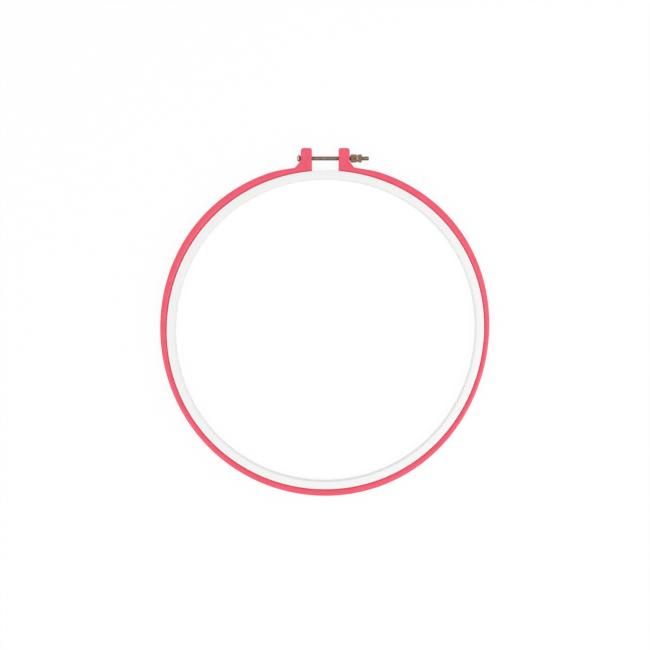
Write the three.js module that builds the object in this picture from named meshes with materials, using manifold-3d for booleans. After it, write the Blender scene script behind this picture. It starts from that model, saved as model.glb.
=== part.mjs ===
// Embroidery hoop: a split outer ring with a screw clamp, and a closed inner ring that it grips.
// Millimetres, +Z up. The hoop lies flat on its back face, its rings' axis along Z, its clamp towards +Y
// and its screw along X. The origin is the middle of the underside of the whole hoop's box.
import * as THREE from "three";
import { mergeVertices } from "three/addons/utils/BufferGeometryUtils.js";
import Module from "manifold-3d";

// Outer ring
const outerRingDiameter = 260;
const outerRingWall = 5.5;
const outerRingHeight = 9.5;
const outerRimRounding = 1.9;
const outerBoreRounding = 3;

// Inner ring
const ringClearance = 0.3;
const innerRingWall = 6.1;
const innerRingHeight = 9.5;
const innerRimRounding = 0.5;
const innerHoleRounding = 0.9;

// Clamp nut, from the end at the lug to the free end
const nutDiameter = 6.4;
const nutLongKnurl = 4.5;
const nutGroove = 1.8;
const nutShortKnurl = 2.7;
const nutGrooveDepth = 0.55;
const nutEndChamfer = 0.4;
const knurlTeeth = 24;
const knurlDepth = 0.3;
const nutBoreClearance = 0.3;

// Clamp screw
const screwDiameter = 3;
const screwHeadDiameter = 5.3;
const screwHeadRim = 0.8;
const screwHeadDome = 1.8;
const screwNeckWidth = 3.2;
const screwNeckLength = 4;
const screwBeyondNut = 5.3;
const screwEndChamfer = 0.4;

// Lugs of the outer ring, one each side of its split
const lugGap = 21;
const lugWidth = 8.6;
const lugAboveScrew = 7.6;
const lugEdgeRounding = 1.2;
const lugGapCorner = 1.4;
const lugOuterCorner = 2;
const lugRootRun = 3.6;
const lugHoleClearance = 0.5;

// Clearances of the clamp, and the joint line where the outer ring bends
const neckClearance = 0.3;
const seatClearance = 0.3;
const nutAboveRing = 1;
const bendLine = 0.3;

// Facets, the least radius that a rounded corner of an outline keeps, and the most of a ring's wall or
// height that the roundings of its edges take
const ringSides = 96;
const roundSides = 24;
const roundingSteps = 3;
const sharpest = 0.05;
const roundedShare = 0.9;

// Radii and places that follow from the sizes above
const outerRadius = outerRingDiameter / 2;
const outerBore = outerRadius - outerRingWall;
const innerRadius = outerBore - ringClearance;
const innerHole = innerRadius - innerRingWall;
const lugInnerX = lugGap / 2;
const lugOuterX = lugInnerX + lugWidth;
const nutRadius = nutDiameter / 2;
const screwRadius = screwDiameter / 2;
const nutLength = nutLongKnurl + nutGroove + nutShortKnurl;
const screwY = outerRadius + nutAboveRing + nutRadius;
const screwZ = outerRingHeight / 2;
const lugTop = screwY + lugAboveScrew;
const lugShoulderY = screwY - Math.max(nutDiameter, screwHeadDiameter) / 2 - seatClearance;
const headX = -lugOuterX - seatClearance;
const nutX = lugOuterX + seatClearance;
const screwEndX = nutX + nutLength + screwBeyondNut;
const bendRadius = outerRadius - outerRingWall / 2;
const bendAngle = -Math.acos((nutX + nutLength / 2) / bendRadius);

const wasm = await Module();
wasm.setup();

// A closed three.js geometry as a solid for cutting and joining
function solid(geometry) {
  const bare = geometry.index ? geometry.toNonIndexed() : geometry.clone();
  bare.deleteAttribute("normal");
  bare.deleteAttribute("uv");
  const merged = mergeVertices(bare, 1e-4);
  return new wasm.Manifold(new wasm.Mesh({
    numProp: 3,
    vertProperties: new Float32Array(merged.attributes.position.array),
    triVerts: new Uint32Array(merged.index.array),
  }));
}

function geometryOf(manifold) {
  const mesh = manifold.getMesh();
  const geometry = new THREE.BufferGeometry();
  geometry.setAttribute("position", new THREE.BufferAttribute(mesh.vertProperties, 3));
  geometry.setIndex(new THREE.BufferAttribute(mesh.triVerts, 1));
  geometry.computeVertexNormals();
  return geometry;
}

// Points of a quarter circle round (x, y), from one angle to the next, for a rounded corner of an outline
function corner(x, y, radius, fromDegrees, toDegrees) {
  const points = [];
  for (let step = 0; step <= roundingSteps; step += 1) {
    const degrees = THREE.MathUtils.lerp(fromDegrees, toDegrees, step / roundingSteps);
    const angle = THREE.MathUtils.degToRad(degrees);
    points.push(new THREE.Vector2(x + radius * Math.cos(angle), y + radius * Math.sin(angle)));
  }
  return points;
}

// A ring about Z that stands on z = 0, with its outside and its hole rounded at both edges. The two
// roundings keep their sizes as long as the ring's wall and height have room for them.
function ring(hole, radius, height, holeRounding, rimRounding) {
  const wallRoom = roundedShare * (radius - hole) / (holeRounding + rimRounding);
  const heightRoom = roundedShare * height / 2 / Math.max(holeRounding, rimRounding);
  const fit = Math.min(1, wallRoom, heightRoom);
  const atHole = holeRounding * fit;
  const atRim = rimRounding * fit;
  const outline = [
    ...corner(radius - atRim, atRim, atRim, -90, 0),
    ...corner(radius - atRim, height - atRim, atRim, 0, 90),
    ...corner(hole + atHole, height - atHole, atHole, 90, 180),
    ...corner(hole + atHole, atHole, atHole, 180, 270),
  ];
  return new THREE.LatheGeometry([...outline, outline[0].clone()], ringSides).rotateX(Math.PI / 2);
}

// Something turned about the screw's axis, from [place along X, radius] pairs that start and end on the axis
function turnedAlongX(profile, sides = roundSides) {
  const points = profile.map(([along, radius]) => new THREE.Vector2(radius, along));
  return new THREE.LatheGeometry(points, sides).rotateZ(-Math.PI / 2).translate(0, screwY, screwZ);
}

// The sector of the plan between two angles, as a slab thicker than the hoop
function sector(fromAngle, toAngle) {
  const far = outerRingDiameter;
  const rays = 6;
  const points = [new THREE.Vector2(0, 0)];
  for (let ray = 0; ray <= rays; ray += 1) {
    const angle = THREE.MathUtils.lerp(fromAngle, toAngle, ray / rays);
    points.push(new THREE.Vector2(far * Math.cos(angle), far * Math.sin(angle)));
  }
  const depth = outerRingHeight * 3;
  const slab = new THREE.ExtrudeGeometry(new THREE.Shape(points), { depth, bevelEnabled: false });
  return solid(slab.translate(0, 0, -outerRingHeight));
}

// A lug, on the +X side for side 1 or the -X side for side -1: an upright block whose foot slopes into
// the ring, rounded on all its edges. The outline lies inside the true one by the rounding, and the bevel
// adds it.
function lug(side) {
  const inset = lugEdgeRounding;
  const left = lugInnerX + inset;
  const right = lugOuterX - inset;
  const top = lugTop - inset;
  const rootX = lugOuterX + lugRootRun;
  const rootY = Math.sqrt(outerRadius ** 2 - rootX ** 2) - inset;
  const lean = Math.atan2(rootX - right, lugShoulderY - rootY);
  const gapCorner = Math.max(lugGapCorner - inset, sharpest);
  const outerCorner = Math.max(lugOuterCorner - inset, sharpest);
  const footRadius = outerBore + outerRingWall / 2;
  const outline = [
    new THREE.Vector2(left, Math.sqrt(footRadius ** 2 - left ** 2)),
    new THREE.Vector2(rootX, Math.sqrt(footRadius ** 2 - rootX ** 2)),
    new THREE.Vector2(rootX, rootY),
    new THREE.Vector2(right, lugShoulderY - inset * Math.tan(lean / 2)),
    ...corner(right - outerCorner, top - outerCorner, outerCorner, 0, 90),
    ...corner(left + gapCorner, top - gapCorner, gapCorner, 90, 180),
  ];
  const shape = new THREE.Shape(outline.map((point) => new THREE.Vector2(side * point.x, point.y)));
  const block = new THREE.ExtrudeGeometry(shape, {
    depth: outerRingHeight - 2 * inset,
    bevelEnabled: true,
    bevelSize: inset,
    bevelThickness: inset,
    bevelSegments: roundingSteps,
  }).translate(0, 0, inset);
  return solid(block).subtract(boreCutter);
}

const boreCutter = solid(new THREE.CylinderGeometry(outerBore, outerBore, outerRingHeight * 3, ringSides)
  .rotateX(Math.PI / 2));
const splitCutter = solid(new THREE.BoxGeometry(lugGap, outerRingDiameter, outerRingHeight * 3)
  .translate(0, outerRingDiameter / 2, 0));
const bendCutter = solid(new THREE.BoxGeometry(outerRingDiameter, bendLine, outerRingHeight * 3)
  .translate(outerRingDiameter / 2, 0, 0)
  .rotateZ(bendAngle));
const wholeRing = solid(ring(outerBore, outerRadius, outerRingHeight, outerBoreRounding, outerRimRounding))
  .subtract(bendCutter);

// The right half runs from the bend line up to its lug, whose round hole the rod passes with room to tilt
function outerRingRight() {
  const rodHole = screwRadius + lugHoleClearance;
  const hole = turnedAlongX([[0, 0], [0, rodHole], [lugOuterX * 2, rodHole], [lugOuterX * 2, 0]]);
  const half = wholeRing.intersect(sector(bendAngle, Math.PI / 2));
  return half.add(lug(1)).subtract(splitCutter).subtract(solid(hole));
}

// The left half has the square hole that keeps the screw from turning
function outerRingLeft() {
  const holeWidth = screwNeckWidth + 2 * neckClearance;
  const hole = new THREE.BoxGeometry(lugOuterX * 2, holeWidth, holeWidth)
    .translate(-lugOuterX, screwY, screwZ);
  const half = wholeRing.intersect(sector(Math.PI / 2, 2 * Math.PI + bendAngle));
  return half.add(lug(-1)).subtract(splitCutter).subtract(solid(hole));
}

function innerRing() {
  return ring(innerHole, innerRadius, innerRingHeight, innerHoleRounding, innerRimRounding);
}

// Domed head, square neck and plain rod with a chamfered end
function clampScrew() {
  const headRadius = screwHeadDiameter / 2;
  const dome = [];
  for (let step = 0; step <= roundingSteps; step += 1) {
    const angle = (Math.PI / 2) * (step / roundingSteps);
    dome.push([headX - screwHeadRim - screwHeadDome * Math.cos(angle), headRadius * Math.sin(angle)]);
  }
  const turned = turnedAlongX([
    ...dome,
    [headX, headRadius],
    [headX, screwRadius],
    [screwEndX - screwEndChamfer, screwRadius],
    [screwEndX, screwRadius - screwEndChamfer],
    [screwEndX, 0],
  ]);
  const overlap = screwHeadRim / 2;
  const neck = new THREE.BoxGeometry(screwNeckLength + overlap, screwNeckWidth, screwNeckWidth)
    .translate(headX + (screwNeckLength - overlap) / 2, screwY, screwZ);
  return solid(turned).add(solid(neck));
}

// A knurled band of the nut from startX along X: a toothed bar, trimmed by a turned barrel with
// chamfered ends
function knurledBand(startX, length) {
  const shape = new THREE.Shape();
  for (let point = 0; point < knurlTeeth * 2; point += 1) {
    const angle = (point / (knurlTeeth * 2)) * 2 * Math.PI;
    const radius = nutRadius - (point % 2 ? knurlDepth : 0);
    const [x, y] = [radius * Math.cos(angle), radius * Math.sin(angle)];
    if (point === 0) {
      shape.moveTo(x, y);
    } else {
      shape.lineTo(x, y);
    }
  }
  const bar = new THREE.ExtrudeGeometry(shape, { depth: length * 2, bevelEnabled: false })
    .rotateY(Math.PI / 2)
    .translate(startX - length / 2, screwY, screwZ);
  const endX = startX + length;
  const shank = nutRadius - nutEndChamfer;
  const barrel = turnedAlongX([
    [startX, 0],
    [startX, shank],
    [startX + nutEndChamfer, nutRadius],
    [endX - nutEndChamfer, nutRadius],
    [endX, shank],
    [endX, 0],
  ], knurlTeeth * 2);
  return solid(bar).intersect(solid(barrel));
}

function clampNut() {
  const grooveRadius = nutRadius - nutGrooveDepth;
  const bore = screwRadius + nutBoreClearance;
  const nutEndX = nutX + nutLength;
  const inset = nutEndChamfer;
  const core = turnedAlongX([
    [nutX + inset, 0],
    [nutX + inset, grooveRadius],
    [nutEndX - inset, grooveRadius],
    [nutEndX - inset, 0],
  ]);
  const hole = turnedAlongX([[0, 0], [0, bore], [screwEndX, bore], [screwEndX, 0]]);
  return solid(core)
    .add(knurledBand(nutX, nutLongKnurl))
    .add(knurledBand(nutX + nutLongKnurl + nutGroove, nutShortKnurl))
    .subtract(solid(hole));
}

const coralPlastic = { color: "#ee5f76", roughness: 0.38, metalness: 0 };
const whitePlastic = { color: "#f3f3f2", roughness: 0.42, metalness: 0 };
const antiqueBrass = { color: "#8f7863", roughness: 0.42, metalness: 0.9 };

const hoop = new THREE.Group();

function place(name, shape, finish) {
  const geometry = shape.isBufferGeometry ? shape : geometryOf(shape);
  const mesh = new THREE.Mesh(geometry, new THREE.MeshStandardMaterial(finish));
  mesh.name = name;
  hoop.add(mesh);
}

place("outer_ring_left", outerRingLeft(), coralPlastic);
place("outer_ring_right", outerRingRight(), coralPlastic);
place("inner_ring", innerRing(), whitePlastic);
place("clamp_screw", clampScrew(), antiqueBrass);
place("clamp_nut", clampNut(), antiqueBrass);

// The rings' axis lies short of the middle of the box, because the lugs stand out on one side only
hoop.position.y = (outerRadius - lugTop) / 2;

export default hoop;
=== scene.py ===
import math

import bpy
import numpy as np
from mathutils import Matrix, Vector
from mathutils.geometry import delaunay_2d_cdt


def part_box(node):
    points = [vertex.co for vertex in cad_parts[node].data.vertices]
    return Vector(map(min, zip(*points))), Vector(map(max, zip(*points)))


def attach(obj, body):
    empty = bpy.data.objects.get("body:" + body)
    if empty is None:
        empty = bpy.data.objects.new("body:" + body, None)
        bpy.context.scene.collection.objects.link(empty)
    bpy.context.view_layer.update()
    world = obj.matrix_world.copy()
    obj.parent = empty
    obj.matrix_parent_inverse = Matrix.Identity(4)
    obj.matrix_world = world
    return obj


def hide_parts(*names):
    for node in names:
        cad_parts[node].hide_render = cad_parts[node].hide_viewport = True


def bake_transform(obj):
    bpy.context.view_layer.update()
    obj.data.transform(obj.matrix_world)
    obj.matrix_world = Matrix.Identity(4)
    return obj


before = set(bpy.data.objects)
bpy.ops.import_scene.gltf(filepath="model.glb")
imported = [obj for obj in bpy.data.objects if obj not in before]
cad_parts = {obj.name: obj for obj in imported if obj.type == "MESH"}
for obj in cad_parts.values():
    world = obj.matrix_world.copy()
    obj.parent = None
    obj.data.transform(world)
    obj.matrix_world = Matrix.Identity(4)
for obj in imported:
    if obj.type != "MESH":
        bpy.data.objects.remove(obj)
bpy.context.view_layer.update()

# Inner ring: one closed hoop of white plastic, injection moulded in one piece, that the cloth is laid over.
# It has no split and nothing fixes it: the outer ring grips it. It has set a little out of true in cooling,
# by fractions of a millimetre, and the outer ring follows it.
MM = 0.001
INNER_LOW, INNER_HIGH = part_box("inner_ring")
RING_X = (INNER_LOW.x + INNER_HIGH.x) / 2
RING_Y = (INNER_LOW.y + INNER_HIGH.y) / 2
RING_HEIGHT = INNER_HIGH.z
INNER_RADIUS = (INNER_HIGH.x - INNER_LOW.x) / 2
INNER_WALL = 6.1 * MM
INNER_RIM_ROUNDING = 0.4 * MM
INNER_HOLE_ROUNDING = 0.9 * MM
INNER_STEPS = 360
INNER_ROUNDING_STEPS = 6
# Each set of bulges round a ring: how many there are, how far they stand out, and the azimuth of one
INNER_BULGES = ((1, 0.13 * MM, 57), (2, 0.54 * MM, 59), (3, 0.26 * MM, 30), (4, 0.26 * MM, 35))


class Wire:
    """A socket in a node tree: maths written on it adds the Math nodes, and node() adds any other."""

    def __init__(self, tree, socket=None):
        self.tree = tree
        self.socket = socket

    def node(self, kind, settings=None, inputs=None, output=0):
        """Adds a node, sets it, feeds its sockets with values or wires, and gives one of its outputs."""
        node = self.tree.nodes.new(kind)
        for name, value in (settings or {}).items():
            setattr(node, name, value)
        for name, value in (inputs or {}).items():
            if isinstance(value, Wire):
                self.tree.links.new(value.socket, node.inputs[name])
            else:
                node.inputs[name].default_value = value
        return Wire(self.tree, node.outputs[output])

    def maths(self, operation, *values):
        return self.node("ShaderNodeMath", {"operation": operation}, dict(enumerate(values)))

    def __add__(self, other):
        return self.maths("ADD", self, other)

    def __radd__(self, other):
        return self.maths("ADD", other, self)

    def __sub__(self, other):
        return self.maths("SUBTRACT", self, other)

    def __rsub__(self, other):
        return self.maths("SUBTRACT", other, self)

    def __mul__(self, other):
        return self.maths("MULTIPLY", self, other)

    def __rmul__(self, other):
        return self.maths("MULTIPLY", other, self)

    def __truediv__(self, other):
        return self.maths("DIVIDE", self, other)

    def cosine(self):
        return self.maths("COSINE", self)

    def rise(self, low, high):
        """0 below low, 1 above high, and smooth between them."""
        smooth = {"interpolation_type": "SMOOTHSTEP"}
        return self.node("ShaderNodeMapRange", smooth, {"Value": self, "From Min": low, "From Max": high})

    def between(self, first, second):
        """A colour from first, where this wire is 0, to second, where it is 1."""
        return self.node("ShaderNodeMix", {"data_type": "RGBA"}, {0: self, 6: first, 7: second}, 2)

    def noise(self, size, detail, roughness=0.5):
        """Cloudy noise on this position, from 0 to 1, in clouds of about that size."""
        inputs = {"Vector": self, "Scale": 1 / size, "Detail": detail, "Roughness": roughness}
        return self.node("ShaderNodeTexNoise", {}, inputs)


def paint(red, green, blue):
    """A colour of screen values from 0 to 255, as the linear colour that a shader takes."""
    shares = [value / 255 for value in (red, green, blue)]
    return [s / 12.92 if s <= 0.04045 else ((s + 0.055) / 1.055) ** 2.4 for s in shares] + [1.0]


def new_finish(name, constants):
    """A new material, with the shader sockets that are the same all over it; gives it and its wires."""
    material = bpy.data.materials.new(name)
    material.use_nodes = True
    shader = material.node_tree.nodes["Principled BSDF"]
    for socket, value in constants.items():
        shader.inputs[socket].default_value = value
    wires = Wire(material.node_tree)
    return material, wires, wires.node("ShaderNodeTexCoord", output="Object")


def feed(material, **varying):
    """Feeds the shader sockets that vary over the surface, named in lower case."""
    shader = material.node_tree.nodes["Principled BSDF"]
    for name, wire in varying.items():
        material.node_tree.links.new(wire.socket, shader.inputs[name.replace("_", " ").title()])


def grained(place, height):
    """A Normal for a surface whose fine relief is a height in metres."""
    return place.node("ShaderNodeBump", {}, {"Strength": 1.0, "Distance": 1.0, "Height": height})


def out_of_true(bulges, azimuth, cosine=np.cos):
    """How far a ring that has set out of true stands off its circle at an azimuth in radians."""
    return sum(cosine((azimuth - math.radians(first)) * count) * height for count, height, first in bulges)


def new_shape_tree(name, sizes):
    """A Geometry Nodes tree with a mesh in, a mesh out and a named input for each size; gives its inputs."""
    tree = bpy.data.node_groups.new(name, "GeometryNodeTree")
    tree.interface.new_socket("Geometry", in_out="INPUT", socket_type="NodeSocketGeometry")
    for size in sizes:
        tree.interface.new_socket(size, in_out="INPUT", socket_type="NodeSocketFloat")
    tree.interface.new_socket("Geometry", in_out="OUTPUT", socket_type="NodeSocketGeometry")
    entry = tree.nodes.new("NodeGroupInput")
    return {socket.name: Wire(tree, socket) for socket in entry.outputs if socket.name}


def end_shape_tree(shape, material):
    """Ends a tree in real faces of one material."""
    real = shape.node("GeometryNodeRealizeInstances", {}, {"Geometry": shape})
    coated = real.node("GeometryNodeSetMaterial", {}, {"Geometry": real, "Material": material})
    shape.tree.links.new(coated.socket, shape.tree.nodes.new("NodeGroupOutput").inputs[0])
    return shape.tree


def grow(name, tree, sizes, blank=None):
    """Runs a shape tree at real sizes, on a blank if it needs one, and keeps the result as a plain mesh."""
    piece = bpy.data.objects.new(name, blank or bpy.data.meshes.new(name))
    bpy.context.scene.collection.objects.link(piece)
    modifier = piece.modifiers.new(tree.name, "NODES")
    modifier.node_group = tree
    for socket in tree.interface.items_tree:
        if socket.in_out == "INPUT" and socket.name in sizes:
            modifier[socket.identifier] = sizes[socket.name]
    made = piece.evaluated_get(bpy.context.evaluated_depsgraph_get())
    mesh = bpy.data.meshes.new_from_object(made)
    piece.modifiers.clear()
    piece.data = mesh
    return piece


def smooth_but_for(piece, degrees):
    """Shades a piece smooth, but for the edges that are sharper than an angle."""
    piece.data.shade_smooth()
    piece.data.set_sharp_from_angle(angle=math.radians(degrees))


white, _, place = new_finish("white_plastic", {"IOR": 1.46, "Specular IOR Level": 0.5})
cloud = place.noise(14 * MM, 3)
speckle = place.noise(1.6 * MM, 2)
scuff = place.noise(5 * MM, 4, 0.62).rise(0.5, 0.75)
feed(
    white,
    base_color=(cloud * 0.6 + speckle * 0.4).between(paint(242, 243, 242), paint(249, 249, 248)),
    roughness=0.36 + 0.1 * cloud + 0.08 * scuff,
    normal=grained(place, 0.004 * MM * speckle + 0.012 * MM * place.noise(4 * MM, 1)),
)

inputs = new_shape_tree("swept_ring", ("Radius", "Wall", "Height", "Rim Rounding", "Hole Rounding", "Steps"))
circle = inputs["Radius"].node(
    "GeometryNodeCurvePrimitiveCircle",
    {},
    {"Resolution": inputs["Steps"], "Radius": inputs["Radius"] - inputs["Wall"] / 2},
)
upright = circle.node("GeometryNodeSetCurveNormal", {"mode": "Z_UP"}, {"Curve": circle})
section = circle.node(
    "GeometryNodeCurvePrimitiveQuadrilateral", {}, {"Width": inputs["Wall"], "Height": inputs["Height"]}
)
across_wall = section.node("ShaderNodeSeparateXYZ", {}, {"Vector": section.node("GeometryNodeInputPosition")})
outside = across_wall.maths("GREATER_THAN", across_wall, 0.0)
rounding = outside * inputs["Rim Rounding"] + (1 - outside) * inputs["Hole Rounding"]
section = section.node(
    "GeometryNodeFilletCurve",
    {"mode": "POLY"},
    {"Curve": section, "Count": INNER_ROUNDING_STEPS, "Radius": rounding},
)
swept = circle.node("GeometryNodeCurveToMesh", {}, {"Curve": upright, "Profile Curve": section})
spot = swept.node("GeometryNodeInputPosition")
x, y, z = (spot.node("ShaderNodeSeparateXYZ", {}, {"Vector": spot}, axis) for axis in range(3))
azimuth = y.maths("ARCTAN2", y, x)
off = out_of_true(INNER_BULGES, azimuth, Wire.cosine)
shift = off.node(
    "ShaderNodeCombineXYZ",
    {},
    {
        "X": off * azimuth.cosine() + RING_X,
        "Y": off * azimuth.maths("SINE", azimuth) + RING_Y,
        "Z": inputs["Height"] / 2,
    },
)
swept = swept.node("GeometryNodeSetPosition", {}, {"Geometry": swept, "Offset": shift})
ring_sizes = {
    "Radius": INNER_RADIUS,
    "Wall": INNER_WALL,
    "Height": RING_HEIGHT,
    "Rim Rounding": INNER_RIM_ROUNDING,
    "Hole Rounding": INNER_HOLE_ROUNDING,
    "Steps": float(INNER_STEPS),
}
inner_ring = grow("inner_ring_moulding", end_shape_tree(swept, white), ring_sizes)
smooth_but_for(inner_ring, 40)
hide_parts("inner_ring")
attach(inner_ring, "ring_inner")

# Outer ring: one springy moulding of coral plastic, split at the top, with a lug on each side of the split.
# Its top and underside are crowned and its edges rounded, and the mould's parting line runs round it at
# half its height. The clamp screw passes a square hole in the left lug and a round one in the right lug.
LEFT_LOW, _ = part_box("outer_ring_left")
RIGHT_LOW, RIGHT_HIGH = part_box("outer_ring_right")
NUT_LOW, NUT_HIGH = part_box("clamp_nut")
RIM_RADIUS = (RIGHT_HIGH.x - LEFT_LOW.x) / 2
BORE_RADIUS = INNER_RADIUS + 0.1 * MM
LUG_INNER_X = RIGHT_LOW.x
LUG_OUTER_X = NUT_LOW.x - 0.3 * MM
LUG_TOP = RIGHT_HIGH.y - RING_Y
SCREW_Y = (NUT_LOW.y + NUT_HIGH.y) / 2
SCREW_Z = (NUT_LOW.z + NUT_HIGH.z) / 2
# The slope beside each lug: how high up it starts, and how far out it meets the rim. The left one is longer
LUG_SHOULDER = NUT_LOW.y - RING_Y + 0.5 * MM
RIGHT_SLOPE = (LUG_SHOULDER, 3.9 * MM)
LEFT_SLOPE = (LUG_SHOULDER + 0.4 * MM, 5.1 * MM)
# How far the rim stands off the true circle all round, and its bulges
RIM_DRAWN_IN = -0.55 * MM
RIM_BULGES = ((1, 0.70 * MM, 117), (2, 0.66 * MM, 76), (3, 0.72 * MM, 33), (4, 0.40 * MM, 39))
# The rim draws in beside the lugs, fully within the first angle from their middle, not at all past the second
NECKING = 1.1 * MM
NECKED_WITHIN = math.radians(10)
NECKED_OUT_BY = math.radians(20)
# Between these radii the ring's bulges fade out up the lugs, which the screw keeps in line
LUG_STEADY_FROM = RIM_RADIUS
LUG_STEADY_TO = RIM_RADIUS + 4 * MM
# The rounding of each kind of edge, and the width of edge and crown together
RIM_EDGE = (1.9 * MM, 2.0 * MM)
LUG_EDGE = (1.3 * MM, 2.2 * MM)
BORE_EDGE = (2.7 * MM, 3.3 * MM)
CROWN_TILT = math.radians(12)
EDGE_TILTS = [math.radians(tilt) for tilt in (90, 80, 70, 60, 50, 40, 31, 23, 17, 12, 8, 4, 0)]
CORNER_RADII = {"bore": 0.9 * MM, "gap": 1.4 * MM, "outer": 2.0 * MM, "shoulder": 1.6 * MM, "root": 3.0 * MM}
CORNER_STEPS = 6
SHARPEST_CORNER = 0.03 * MM
# How far the bore and the rim are taken as straight beside the corners that they meet
CORNER_REACH = 4 * MM
RIM_STEPS = 340
PARTING_RIDGE = 0.05 * MM
PARTING_WIDTH = 0.25 * MM
SINK_DEPTH = 0.45 * MM
SINK_SIZE = (2.0 * MM, 4.6 * MM)
# The grid of points on a lug's faces that draws the sink, and how far it keeps from the lug's own edges
SINK_GRID = 0.6 * MM
SINK_FROM_GAP = 2.5 * MM
SINK_FROM_SIDE = 2.2 * MM
SINK_FROM_TOP = 2.5 * MM
SINK_BELOW_SHOULDER = 4 * MM
# For the triangles of the faces: only those inside the border, and how near two points count as one
INSIDE_BORDER = 1
SAME_POINT = 1e-9
# The holes for the screw: round for the rod, square for the neck, each with a small flare at both mouths
ROD_HOLE_RADIUS = 2.0 * MM
NECK_HOLE_HALF = 1.9 * MM
HOLE_FLARE = 0.4 * MM
DRILL_SIDES = 32
# How square a bar or a hole is in section
ROUND = 2
SQUARE = 12


def edge_step(edge, tilt):
    """How far in from the wall, and how far below the crest, an edge lies where its surface tilts so."""
    rounding, width = edge
    crown = (width - rounding * (1 - math.sin(CROWN_TILT))) / math.sin(CROWN_TILT)
    if tilt >= CROWN_TILT:
        below = crown * (1 - math.cos(CROWN_TILT)) + rounding * (math.cos(CROWN_TILT) - math.cos(tilt))
        return rounding * (1 - math.sin(tilt)), below
    return width - crown * math.sin(tilt), crown * (1 - math.cos(tilt))


def fillet(before, corner, after, radius):
    """Points of the arc that rounds a corner of an outline."""
    back = (before - corner) / np.linalg.norm(before - corner)
    on = (after - corner) / np.linalg.norm(after - corner)
    half = math.acos(np.clip(back @ on, -1, 1)) / 2
    middle = (back + on) / np.linalg.norm(back + on)
    centre = corner + middle * radius / math.sin(half)
    start = corner + back * radius / math.tan(half) - centre
    end = corner + on * radius / math.tan(half) - centre
    first = math.atan2(start[1], start[0])
    sweep = (math.atan2(end[1], end[0]) - first + math.pi) % (2 * math.pi) - math.pi
    turns = first + sweep * np.linspace(0, 1, CORNER_STEPS)
    return centre + radius * np.stack([np.cos(turns), np.sin(turns)], 1)


def on_circle(radius, x):
    return np.array([x, math.sqrt(radius**2 - x**2)])


def lug_corners(slope, bore_in, lug_in, rim_in):
    """The rounded corners of a right lug's outline, from the bore up, over and down to the rim, when each
    kind of edge has come so far in from its wall. A left lug is the mirror image of one."""
    shoulder_height, root_run = slope
    gap_x = LUG_INNER_X + lug_in
    side_x = LUG_OUTER_X - lug_in
    top = LUG_TOP - lug_in
    bore = BORE_RADIUS + bore_in
    rim = RIM_RADIUS - rim_in
    slope_from = np.array([LUG_OUTER_X, shoulder_height])
    slope_to = on_circle(RIM_RADIUS, LUG_OUTER_X + root_run)
    along = (slope_to - slope_from) / np.linalg.norm(slope_to - slope_from)
    outward = np.array([-along[1], along[0]])
    slope_from = slope_from - outward * lug_in
    shoulder = slope_from + along * (side_x - slope_from[0]) / along[0]
    nearest = -(slope_from @ along)
    beside = math.sqrt(rim**2 - (slope_from @ outward) ** 2)
    root = slope_from + along * (nearest + (beside if nearest < 0 else -beside))
    points = [
        on_circle(bore, gap_x + CORNER_REACH),
        on_circle(bore, gap_x),
        np.array([gap_x, top]),
        np.array([side_x, top]),
        shoulder,
        root,
        on_circle(rim, root[0] + CORNER_REACH),
    ]
    grows = {"bore": -lug_in, "gap": -lug_in, "outer": -lug_in, "shoulder": lug_in, "root": lug_in}
    corners = []
    for number, (name, radius) in enumerate(CORNER_RADII.items(), 1):
        rounded = max(radius + grows[name], SHARPEST_CORNER)
        corners.append(fillet(points[number - 1], points[number], points[number + 1], rounded))
    return corners


def arc(radius, first, last, steps):
    """Points of an arc round the ring's axis, without its two ends."""
    azimuths = np.linspace(first, last, steps + 2)[1:-1]
    return radius * np.stack([np.cos(azimuths), np.sin(azimuths)], 1)


def ring_row(tilt):
    """One row of points round the whole moulding, where its edges tilt so: the plan, and the drop from the
    crest of the face."""
    (bore_in, bore_drop), (lug_in, lug_drop), (rim_in, rim_drop) = (
        edge_step(edge, tilt) for edge in (BORE_EDGE, LUG_EDGE, RIM_EDGE)
    )
    drops = [np.full(CORNER_STEPS, lug_drop) for name in CORNER_RADII]
    drops[0] = np.linspace(bore_drop, lug_drop, CORNER_STEPS)
    drops[-1] = np.linspace(lug_drop, rim_drop, CORNER_STEPS)
    right_drop = np.concatenate(drops)
    left_drop = right_drop[::-1]
    right = np.concatenate(lug_corners(RIGHT_SLOPE, bore_in, lug_in, rim_in))
    left = np.concatenate(lug_corners(LEFT_SLOPE, bore_in, lug_in, rim_in))[::-1] * (-1, 1)
    rim_start = math.atan2(right[-1][1], right[-1][0])
    rim_end = math.atan2(left[0][1], left[0][0]) - 2 * math.pi
    bore_end = math.atan2(right[0][1], right[0][0])
    rim = arc(RIM_RADIUS - rim_in, rim_start, rim_end, RIM_STEPS)
    bore = arc(BORE_RADIUS + bore_in, math.pi - bore_end, 2 * math.pi + bore_end, RIM_STEPS)
    plan = np.concatenate([right, rim, left, bore])
    rim_drops, bore_drops = np.full(RIM_STEPS, rim_drop), np.full(RIM_STEPS, bore_drop)
    drop = np.concatenate([right_drop, rim_drops, left_drop, bore_drops])
    return plan[::-1], drop[::-1]


def sink(point):
    """The shallow dip that a thick lug draws in its faces as it cools, from 0 to its full depth."""
    across = (abs(point[0]) - (LUG_INNER_X + LUG_OUTER_X) / 2) / SINK_SIZE[0]
    up = (point[1] - (SCREW_Y - RING_Y)) / SINK_SIZE[1]
    return SINK_DEPTH * math.exp(-(across**2) - up**2)


def smooth_step(share):
    share = np.clip(share, 0, 1)
    return share**2 * (3 - 2 * share)


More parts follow.
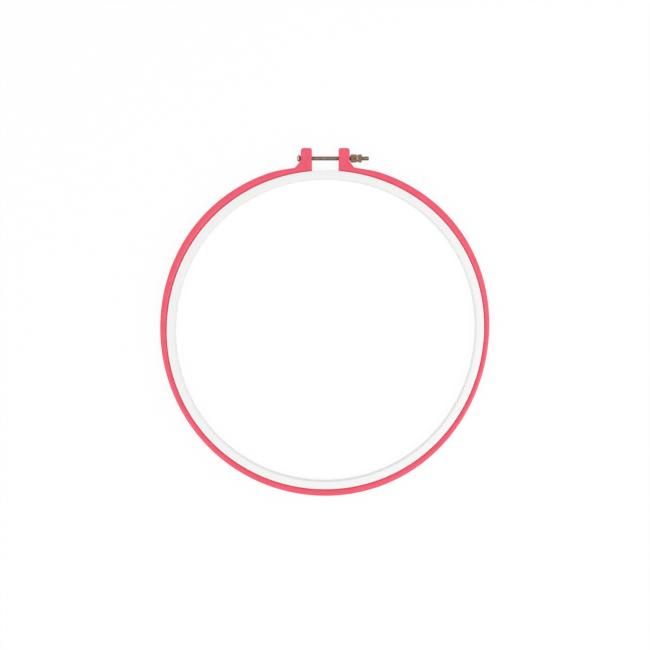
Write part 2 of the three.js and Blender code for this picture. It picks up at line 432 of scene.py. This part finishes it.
def outer_ring_mesh():
    """The moulding as rows of points from the underside over the outside walls to the face, both faces
    filled in, and the whole set out of true."""
    rows = []
    for tilt in EDGE_TILTS[::-1]:
        plan, drop = ring_row(tilt)
        rows.append(np.column_stack([plan, drop]))
    wall, _ = ring_row(EDGE_TILTS[0])
    normal = np.roll(wall, -1, 0) - np.roll(wall, 1, 0)
    normal = np.stack([normal[:, 1], -normal[:, 0]], 1) / np.linalg.norm(normal, axis=1)[:, None]
    for up, ridge in ((-1, 0), (0, PARTING_RIDGE), (1, 0)):
        height = np.full(len(wall), RING_HEIGHT / 2 + up * PARTING_WIDTH / 2)
        rows.append(np.column_stack([wall + normal * ridge, height]))
    for tilt in EDGE_TILTS:
        plan, drop = ring_row(tilt)
        rows.append(np.column_stack([plan, RING_HEIGHT - drop]))
    around = len(wall)
    points = list(np.concatenate(rows))
    faces = []
    for row in range(len(rows) - 1):
        for here in range(around):
            on = (here + 1) % around
            below, above = row * around, (row + 1) * around
            faces.append((below + here, below + on, above + on, above + here))
    edge = rows[-1][:, :2]
    lug_xs = np.arange(LUG_INNER_X + SINK_FROM_GAP, LUG_OUTER_X - SINK_FROM_SIDE, SINK_GRID)
    lug_ys = np.arange(LUG_SHOULDER - SINK_BELOW_SHOULDER, LUG_TOP - SINK_FROM_TOP, SINK_GRID)
    studs = [(side * x, y) for side in (-1, 1) for x in lug_xs for y in lug_ys]
    flat = [Vector(point) for point in edge] + [Vector(stud) for stud in studs]
    border = [(here, (here + 1) % around) for here in range(around)]
    _, _, triangles, sources, _, _ = delaunay_2d_cdt(flat, border, [], INSIDE_BORDER, SAME_POINT)
    for first, height, sign in (((len(rows) - 1) * around, RING_HEIGHT, 1), (0, 0.0, -1)):
        added = len(points)
        points += [np.array([x, y, height - sign * sink((x, y))]) for x, y in studs]
        number = [first + k if k < around else added + k - around for k in (source[0] for source in sources)]
        faces += [[number[corner] for corner in triangle][::sign] for triangle in triangles]
    points = np.array(points)
    radius = np.linalg.norm(points[:, :2], axis=1)
    azimuth = np.arctan2(points[:, 1], points[:, 0])
    share = np.clip((radius - BORE_RADIUS) / (RIM_RADIUS - BORE_RADIUS), 0, 1)
    steady = smooth_step((radius - LUG_STEADY_FROM) / (LUG_STEADY_TO - LUG_STEADY_FROM))
    necked = smooth_step((NECKED_OUT_BY - abs(azimuth - math.pi / 2)) / (NECKED_OUT_BY - NECKED_WITHIN))
    off = (1 - share) * out_of_true(INNER_BULGES, azimuth)
    off += share * (RIM_DRAWN_IN + out_of_true(RIM_BULGES, azimuth) - NECKING * necked)
    off *= 1 - steady
    points[:, 0] += off * np.cos(azimuth) + RING_X
    points[:, 1] += off * np.sin(azimuth) + RING_Y
    mesh = bpy.data.meshes.new("outer_ring_moulding")
    mesh.from_pydata(points.tolist(), [], faces)
    return mesh


def bar_along_x(name, sections, sides, hollow=False, turned=0.0):
    """A closed bar along the screw's axis, through sections of (place along X, half width, squareness). It
    is round at squareness 2, and the more square the higher that is. A hollow bar's sections run back
    through its bore, and its last one meets its first. It can be turned by a share of one side."""
    turns = (np.arange(sides) + turned) / sides * 2 * math.pi
    points = []
    for x, half, squareness in sections:
        reach = (abs(np.cos(turns)) ** squareness + abs(np.sin(turns)) ** squareness) ** (-1 / squareness)
        for turn, size in zip(turns, reach):
            points.append((x, SCREW_Y + half * size * math.cos(turn), SCREW_Z + half * size * math.sin(turn)))
    faces = [] if hollow else [list(range(sides))[::-1], list(range(len(points) - sides, len(points)))]
    for row in range(len(sections) - (0 if hollow else 1)):
        for here in range(sides):
            on = (here + 1) % sides
            above = (row + 1) % len(sections) * sides
            faces.append([row * sides + here, row * sides + on, above + on, above + here])
    mesh = bpy.data.meshes.new(name)
    mesh.from_pydata(points, [], faces)
    return mesh


coral, _, place = new_finish("coral_plastic", {"IOR": 1.48, "Specular IOR Level": 0.5})
cloud = place.noise(9 * MM, 3, 0.55)
mottle = place.noise(1.3 * MM, 3, 0.6)
grain = place.noise(0.35 * MM, 2)
scuff = place.noise(4 * MM, 4, 0.62).rise(0.52, 0.78)
tone = cloud * 0.45 + mottle * 0.55
feed(
    coral,
    base_color=tone.rise(0.3, 0.7).between(paint(238, 80, 105), paint(249, 94, 118)),
    roughness=0.30 + 0.12 * mottle + 0.1 * scuff,
    normal=grained(place, 0.02 * MM * mottle + 0.004 * MM * grain + 0.03 * MM * place.noise(3 * MM, 1)),
)
outer_ring = bpy.data.objects.new("outer_ring_moulding", outer_ring_mesh())
outer_ring.data.materials.append(coral)
bpy.context.scene.collection.objects.link(outer_ring)


def drill_through(piece, name, first, last, half, squareness):
    """Cuts a hole along the screw's axis through a piece, with a small flare at both mouths."""
    sections = [
        (first - HOLE_FLARE, half + 2 * HOLE_FLARE, squareness),
        (first + HOLE_FLARE, half, squareness),
        (last - HOLE_FLARE, half, squareness),
        (last + HOLE_FLARE, half + 2 * HOLE_FLARE, squareness),
    ]
    # Turned by half a side, so that no edge of the drill lies in the plane of the parting line
    drill = bpy.data.objects.new(name, bar_along_x(name, sections, DRILL_SIDES, turned=0.5))
    bpy.context.scene.collection.objects.link(drill)
    cut = piece.modifiers.new(name, "BOOLEAN")
    cut.operation = "DIFFERENCE"
    cut.solver = "EXACT"
    cut.object = drill
    made = piece.evaluated_get(bpy.context.evaluated_depsgraph_get())
    mesh = bpy.data.meshes.new_from_object(made)
    piece.modifiers.clear()
    piece.data = mesh
    bpy.data.objects.remove(drill)


drill_through(outer_ring, "rod_hole", LUG_INNER_X, LUG_OUTER_X, ROD_HOLE_RADIUS, ROUND)
drill_through(outer_ring, "neck_hole", -LUG_OUTER_X, -LUG_INNER_X, NECK_HOLE_HALF, SQUARE)
smooth_but_for(outer_ring, 35)
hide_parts("outer_ring_left", "outer_ring_right")
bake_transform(outer_ring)

# Clamp screw: cold headed from brass-plated steel, with a domed head, a square neck that keeps it from
# turning in the left lug, and a rolled M3 thread. It is dipped dark and worn bright on the crests.
SCREW_LOW, SCREW_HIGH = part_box("clamp_screw")
HEAD_X = -LUG_OUTER_X - 0.75 * MM
HEAD_TIP_X = SCREW_LOW.x - 0.15 * MM
HEAD_RADIUS = (SCREW_HIGH.z - SCREW_LOW.z) / 2
HEAD_RIM = 0.65 * MM
HEAD_EDGE = 0.15 * MM
NECK_LENGTH = 4 * MM
NECK_END_X = HEAD_X + NECK_LENGTH
NECK_HALF = 1.65 * MM
NECK_SQUARENESS = 8
NECK_FILLET = 0.1 * MM
NECK_RUN_OUT = 0.3 * MM
ROD_RADIUS = 1.62 * MM
ROD_END_X = SCREW_HIGH.x + 0.45 * MM
ROD_CHAMFER = 0.4 * MM
THREAD_PITCH = 0.5 * MM
THREAD_DEPTH = 0.2 * MM
THREAD_ROWS = 7
# The shares of the way up a flank below which the root is flat, and above which the crest is
ROOT_FLAT = 0.15
CREST_FLAT = 0.72
# How bright the thread's crests are worn, beside the dome, and how far round the rim the dome's bright paint
# fades, which is partly wear and partly painted reflection
THREAD_WEAR = 0.66
DOME_FADE = 0.3 * MM
SCREW_SIDES = 32


def antique_brass(name, dark, wear_and_highlight):
    """Dark-dipped brass that shows its bright metal where the piece's own attribute says: where handling and
    the nut have worn it, and where a painted highlight stands in for light on the screw's dome and the nut's
    groove."""
    material, wires, place = new_finish(name, {"Metallic": 1.0, "Specular Tint": paint(140, 120, 104)})
    wear = wires.node("ShaderNodeAttribute", {"attribute_name": "wear_and_highlight"}, {}, "Fac")
    patches = place.noise(1.1 * MM, 4, 0.6)
    shown = (wear * (0.8 + 0.4 * patches)).rise(0.05, 1.0)
    tint = place.noise(2.6 * MM, 2).rise(0.35, 0.65)
    dipped = tint.between(paint(*dark[0]), paint(*dark[1]))
    feed(
        material,
        base_color=shown.between(dipped, paint(*wear_and_highlight)),
        roughness=0.54 - 0.2 * shown + 0.1 * patches,
        normal=grained(place, 0.012 * MM * place.noise(0.3 * MM, 3, 0.6)),
    )
    return material


def turning_tree(name, sizes):
    """A tree that works on a turned blank: gives its inputs, and each point's place along the screw's axis,
    its distance from it and its angle round it."""
    inputs = new_shape_tree(name, sizes)
    spot = inputs["Geometry"].node("GeometryNodeInputPosition")
    x, y, z = (spot.node("ShaderNodeSeparateXYZ", {}, {"Vector": spot}, axis) for axis in range(3))
    side, up = y - SCREW_Y, z - SCREW_Z
    distance = side.maths("SQRT", side * side + up * up)
    return inputs, x, distance, side.maths("ARCTAN2", up, side)


def cut_to(blank, x, distance, angle, wear_and_highlight):
    """Moves a blank's points to a new distance from the screw's axis, and keeps how bright its metal shows at
    each one, as wear and, in places, painted highlight.
    """
    place = {
        "X": x,
        "Y": distance * angle.cosine() + SCREW_Y,
        "Z": distance * angle.maths("SINE", angle) + SCREW_Z,
    }
    position = x.node("ShaderNodeCombineXYZ", {}, place)
    cut = x.node("GeometryNodeSetPosition", {}, {"Geometry": blank, "Position": position})
    return x.node("GeometryNodeStoreNamedAttribute", {}, {"Geometry": cut, "Name": "wear_and_highlight", "Value": wear_and_highlight})


DOME = HEAD_X - HEAD_RIM - HEAD_TIP_X
DOME_FULLNESS = 0.72
DOME_TILTS = [math.radians(tilt) for tilt in (1, 3, 7, 13, 21, 31, 43, 56, 70, 82)]
sections = [
    (HEAD_TIP_X + DOME * (1 - math.cos(tilt)), HEAD_RADIUS * math.sin(tilt) ** DOME_FULLNESS, ROUND)
    for tilt in DOME_TILTS
]
sections += [
    (HEAD_X - HEAD_RIM, HEAD_RADIUS, ROUND),
    (HEAD_X - HEAD_EDGE, HEAD_RADIUS, ROUND),
    (HEAD_X, HEAD_RADIUS - HEAD_EDGE, ROUND),
    (HEAD_X, NECK_HALF + NECK_FILLET, NECK_SQUARENESS),
    (HEAD_X + NECK_FILLET, NECK_HALF, NECK_SQUARENESS),
    (NECK_END_X - NECK_RUN_OUT, NECK_HALF, NECK_SQUARENESS),
    (NECK_END_X, ROD_RADIUS, ROUND),
]
thread_end = ROD_END_X - ROD_CHAMFER
rows = round((thread_end - NECK_END_X) / THREAD_PITCH * THREAD_ROWS)
sections += [(x, ROD_RADIUS, ROUND) for x in np.linspace(NECK_END_X, thread_end, rows + 1)[1:]]
sections += [
    (ROD_END_X - ROD_CHAMFER / 2, ROD_RADIUS - ROD_CHAMFER / 2, ROUND),
    (ROD_END_X, ROD_RADIUS - ROD_CHAMFER, ROUND),
]
inputs, x, distance, angle = turning_tree("rolled_thread", ("Pitch", "Depth", "Radius", "From", "Run In"))
phase = x.maths("FRACT", x / inputs["Pitch"] - angle / (2 * math.pi))
flank = x.maths("ABSOLUTE", phase * 2 - 1)
crest = flank.node("ShaderNodeMapRange", {}, {"Value": flank, "From Min": ROOT_FLAT, "From Max": CREST_FLAT})
run_in = x.rise(inputs["From"], inputs["From"] + inputs["Run In"])
thread = inputs["Radius"] - inputs["Depth"] * (1 - crest) * run_in
on_head = x.maths("LESS_THAN", x, inputs["From"])
# The dome shows the bright metal in full, partly as wear and partly as a painted reflection; the rim beside
# the lug keeps the dark dip, partly as painted shade
on_dome = 1 - x.rise(HEAD_X - HEAD_RIM - DOME_FADE, HEAD_X - HEAD_RIM + DOME_FADE)
screw_wear_and_highlight = crest * run_in * THREAD_WEAR + on_dome
threaded = cut_to(inputs["Geometry"], x, x.maths("MINIMUM", distance, thread + on_head), angle, screw_wear_and_highlight)
screw_brass = antique_brass("antique_brass_screw", ((101, 86, 72), (127, 109, 91)), (194, 178, 164))
screw_sizes = {
    "Pitch": THREAD_PITCH,
    "Depth": THREAD_DEPTH,
    "Radius": ROD_RADIUS,
    "From": NECK_END_X,
    "Run In": 2 * THREAD_PITCH,
}
blank = bar_along_x("clamp_screw_blank", sections, SCREW_SIDES)
screw = grow("clamp_screw_threaded", end_shape_tree(threaded, screw_brass), screw_sizes, blank)
smooth_but_for(screw, 50)
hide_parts("clamp_screw")
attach(screw, "ring_left")

# Clamp nut: a turned brass barrel with two straight-knurled bands and a smooth groove between them, run on
# the screw outside the right lug, to be turned with finger and thumb.
NUT_RADIUS = (NUT_HIGH.z - NUT_LOW.z) / 2
NUT_START = NUT_LOW.x + 0.4 * MM
NUT_END = NUT_HIGH.x + 0.2 * MM
LONG_KNURL = 4.55 * MM
SHORT_KNURL = 2.65 * MM
GROOVE_RADIUS = NUT_RADIUS - 0.65 * MM
GROOVE_FILLET = 0.2 * MM
NUT_CHAMFER = 0.45 * MM
NUT_BORE = 1.8 * MM
NUT_FLARE = 0.35 * MM
KNURL_TEETH = 24
KNURL_DEPTH = 0.3 * MM
# How steep a tooth's flanks are: above 1, its crest is flat
TOOTH_STEEPNESS = 1.25
TOOTH_STEPS = 6
BAND_CHAMFER = 0.22 * MM
# How bright the knurl's crests are worn, and how bright the groove is painted, partly as wear and partly as
# painted highlight
CREST_WEAR = 0.54
GROOVE_WEAR_AND_HIGHLIGHT = 0.6
# How far above the groove's floor the knurl's wear begins and is full, and how far below it all wear and the
# groove's painted highlight end
BAND_WEAR_FROM = 0.03 * MM
BAND_WEAR_FULL = 0.12 * MM
WEAR_ENDS_BELOW = 0.05 * MM
groove_start, groove_end = NUT_START + LONG_KNURL, NUT_END - SHORT_KNURL
profile = [
    (NUT_START + NUT_FLARE, NUT_BORE),
    (NUT_START, NUT_BORE + NUT_FLARE),
    (NUT_START, NUT_RADIUS - NUT_CHAMFER),
    (NUT_START + NUT_CHAMFER / 3, NUT_RADIUS - NUT_CHAMFER / 2),
    (NUT_START + NUT_CHAMFER * 0.8, NUT_RADIUS),
    (groove_start - BAND_CHAMFER, NUT_RADIUS),
    (groove_start - BAND_CHAMFER / 3, NUT_RADIUS - BAND_CHAMFER / 2),
    (groove_start, NUT_RADIUS - BAND_CHAMFER),
    (groove_start + GROOVE_FILLET / 4, GROOVE_RADIUS + GROOVE_FILLET / 3),
    (groove_start + GROOVE_FILLET, GROOVE_RADIUS),
    (groove_end - GROOVE_FILLET, GROOVE_RADIUS),
    (groove_end - GROOVE_FILLET / 4, GROOVE_RADIUS + GROOVE_FILLET / 3),
    (groove_end, NUT_RADIUS - BAND_CHAMFER),
    (groove_end + BAND_CHAMFER / 3, NUT_RADIUS - BAND_CHAMFER / 2),
    (groove_end + BAND_CHAMFER, NUT_RADIUS),
    (NUT_END - NUT_CHAMFER * 0.8, NUT_RADIUS),
    (NUT_END - NUT_CHAMFER / 3, NUT_RADIUS - NUT_CHAMFER / 2),
    (NUT_END, NUT_RADIUS - NUT_CHAMFER),
    (NUT_END, NUT_BORE + NUT_FLARE),
    (NUT_END - NUT_FLARE, NUT_BORE),
]
inputs, x, distance, angle = turning_tree("straight_knurl", ("Teeth", "Depth", "Radius", "Groove Radius"))
phase = x.maths("FRACT", angle / (2 * math.pi) * inputs["Teeth"])
tooth = x.maths("MINIMUM", x.maths("ABSOLUTE", phase * 2 - 1) * TOOTH_STEEPNESS, 1.0)
knurled = inputs["Radius"] - inputs["Depth"] * (1 - tooth)
groove = inputs["Groove Radius"]
on_band = distance.rise(groove + BAND_WEAR_FROM, groove + BAND_WEAR_FULL)
in_groove = distance.maths("GREATER_THAN", distance, groove - WEAR_ENDS_BELOW)
# The groove is painted bright, partly as the wear of a turned surface and partly as a painted highlight
nut_wear_and_highlight = on_band * tooth * CREST_WEAR + (1 - on_band) * in_groove * GROOVE_WEAR_AND_HIGHLIGHT
turned = cut_to(inputs["Geometry"], x, x.maths("MINIMUM", distance, knurled), angle, nut_wear_and_highlight)
nut_brass = antique_brass("antique_brass_nut", ((112, 84, 71), (142, 118, 98)), (194, 163, 139))
nut_sizes = {
    "Teeth": float(KNURL_TEETH),
    "Depth": KNURL_DEPTH,
    "Radius": NUT_RADIUS,
    "Groove Radius": GROOVE_RADIUS,
}
rounds = [(x, radius, ROUND) for x, radius in profile]
blank = bar_along_x("clamp_nut_blank", rounds, KNURL_TEETH * TOOTH_STEPS, hollow=True)
nut = grow("clamp_nut_knurled", end_shape_tree(turned, nut_brass), nut_sizes, blank)
smooth_but_for(nut, 30)
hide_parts("clamp_nut")
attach(nut, "nut")

# Studio: a white table that fades into a white room, a soft light high at each side, and a camera straight
# above the middle of the sewing area. None of it is part of the hoop.
FLOOR_HALF = 3.0
FLOOR_WHITE = 0.94
FLOOR_GLOW = 0.9
GLOW_STRENGTH = 1.01
ROOM_LIGHT = 0.62
SEEN_RAYS = ("Is Camera Ray", "Is Glossy Ray", "Is Transmission Ray")


def seen(wires):
    """1 for the rays that see the background: from the camera, or by way of metal or glass."""
    found = [wires.node("ShaderNodeLightPath", output=name) for name in SEEN_RAYS]
    return wires.maths("MAXIMUM", wires.maths("MAXIMUM", found[0], found[1]), found[2])


def bare_tree(owner):
    """Clears the nodes of a material or world, and gives its wires and its own output node."""
    owner.use_nodes = True
    owner.node_tree.nodes.clear()
    kind = "ShaderNodeOutputWorld" if isinstance(owner, bpy.types.World) else "ShaderNodeOutputMaterial"
    return Wire(owner.node_tree), owner.node_tree.nodes.new(kind)


floor_mesh = bpy.data.meshes.new("table_top")
corners = [(-1, -1), (1, -1), (1, 1), (-1, 1)]
floor_mesh.from_pydata([(x * FLOOR_HALF, y * FLOOR_HALF, 0) for x, y in corners], [], [(0, 1, 2, 3)])
floor = bpy.data.objects.new("table_top", floor_mesh)
bpy.context.scene.collection.objects.link(floor)
white_top = bpy.data.materials.new("white_table_top")
wires, output = bare_tree(white_top)
lit = wires.node("ShaderNodeBsdfDiffuse", {}, {"Color": (FLOOR_WHITE, FLOOR_WHITE, FLOOR_WHITE, 1)})
glow = wires.node("ShaderNodeEmission", {}, {"Color": (1, 1, 1, 1), "Strength": GLOW_STRENGTH})
mixed = wires.node("ShaderNodeMixShader", {}, {0: seen(wires) * FLOOR_GLOW, 1: lit, 2: glow})
wires.tree.links.new(mixed.socket, output.inputs["Surface"])
floor.data.materials.append(white_top)

world = bpy.data.worlds.new("white_room")
bpy.context.scene.world = world
wires, output = bare_tree(world)
view = seen(wires)
strength = view + (1 - view) * ROOM_LIGHT
room = wires.node("ShaderNodeBackground", {}, {"Color": (1, 1, 1, 1), "Strength": strength})
wires.tree.links.new(room.socket, output.inputs["Surface"])

# A softbox stands at each side, a little towards the bottom of the picture, and the right one is the nearer
LAMP_TILT = math.radians(37)
for name, azimuth, distance, size, power in (
    ("right_softbox", -20, 1.3, 0.45, 4.4),
    ("left_softbox", 204, 2.6, 0.8, 11.7),
):
    flat = Vector((math.cos(math.radians(azimuth)), math.sin(math.radians(azimuth)), 0))
    place = (flat * math.sin(LAMP_TILT) + Vector((0, 0, math.cos(LAMP_TILT)))) * distance
    softbox = bpy.data.lights.new(name, "AREA")
    softbox.shape = "SQUARE"
    softbox.size = size
    softbox.energy = power
    lamp = bpy.data.objects.new(name, softbox)
    bpy.context.scene.collection.objects.link(lamp)
    lamp.location = place
    lamp.rotation_euler = (-place).to_track_quat("-Z", "Y").to_euler()

# The photograph is 506 mm wide where it cuts the hoop's face, taken from 755 mm above that face
CAMERA_FOOT = Vector((-0.20 * MM, -2.25 * MM))
CAMERA_ABOVE = 755 * MM
FACE_VIEW_WIDTH = 506.4 * MM
SENSOR_WIDTH = 36
camera_data = bpy.data.cameras.new("camera")
camera_data.sensor_width = SENSOR_WIDTH
camera_data.lens = SENSOR_WIDTH * CAMERA_ABOVE / FACE_VIEW_WIDTH
camera = bpy.data.objects.new("camera", camera_data)
bpy.context.scene.collection.objects.link(camera)
camera.location = (CAMERA_FOOT.x, CAMERA_FOOT.y, RING_HEIGHT + CAMERA_ABOVE)
bpy.context.scene.camera = camera
bpy.context.scene.view_settings.view_transform = "Standard"
